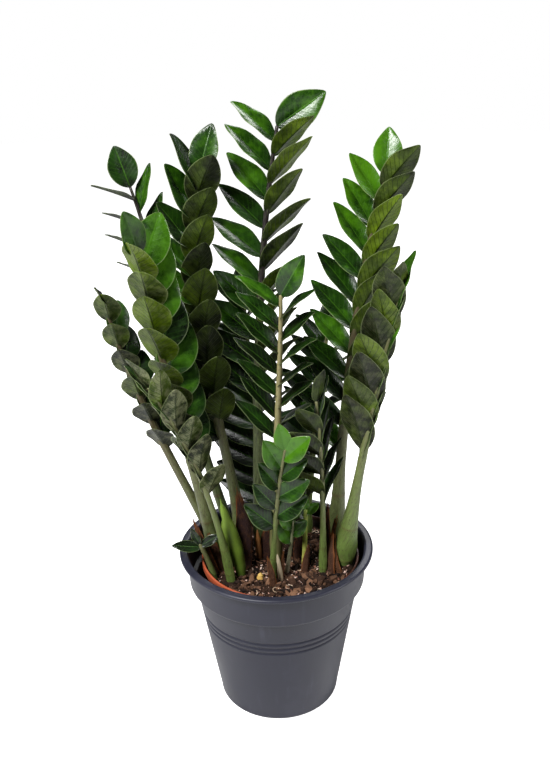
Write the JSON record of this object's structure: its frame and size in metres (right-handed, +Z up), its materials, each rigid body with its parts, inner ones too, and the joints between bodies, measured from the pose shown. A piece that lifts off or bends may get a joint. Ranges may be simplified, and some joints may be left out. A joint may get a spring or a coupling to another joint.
{
  "type": "potted zz plant",
  "caption": "Potted ZZ plant: upright arching fronds of glossy paired leaflets rising from soil in a nursery pot that stands in a taller tapered outer pot with a collar and rolled lip.",
  "frame": {"origin": "centre of the outer pot's flat underside", "axes": "+Z up along the plant, -Y is the front, +X is the right seen from the front"},
  "size_m": [0.3733, 0.2417, 0.7416],
  "materials": {
    "outer_pot_plastic": "dark slate-grey satin moulded plastic",
    "nursery_pot_plastic": "terracotta-orange thin moulded plastic",
    "potting_mix": "dark coarse bark mix with pale grit",
    "frond_green": "waxy dark green leaflets, matte grey-green underside, pale green stalks",
    "sheath_paper": "dry brown papery sheath",
    "tuber_skin": "yellow to brown tuber skin"
  },
  "bodies": {
    "root": {"bud_brown": "tuber_skin", "bud_yellow": "tuber_skin", "cut_stub_pale": "tuber_skin", "frond_back_centre": "frond_green", "frond_back_left": "frond_green", "frond_back_right": "frond_green", "frond_bright_small": "frond_green", "frond_centre_front": "frond_green", "frond_centre_left": "frond_green", "frond_centre_tall": "frond_green", "frond_far_left": "frond_green", "frond_left_front_small": "frond_green", "frond_left_large": "frond_green", "frond_low_left": "frond_green", "frond_right_back": "frond_green", "frond_right_front": "frond_green", "frond_right_small": "frond_green", "frond_sprout": "frond_green", "frond_young_small": "frond_green", "nursery_pot": "nursery_pot_plastic", "outer_pot": "outer_pot_plastic", "sheath_back": "sheath_paper", "sheath_big": "sheath_paper", "sheath_curly": "sheath_paper", "sheath_left": "sheath_paper", "sheath_pointed": "sheath_paper", "sheath_reddish": "sheath_paper", "soil": "potting_mix", "stub_green_large": "frond_green", "stub_green_small": "frond_green"}
  },
  "joints": []
}
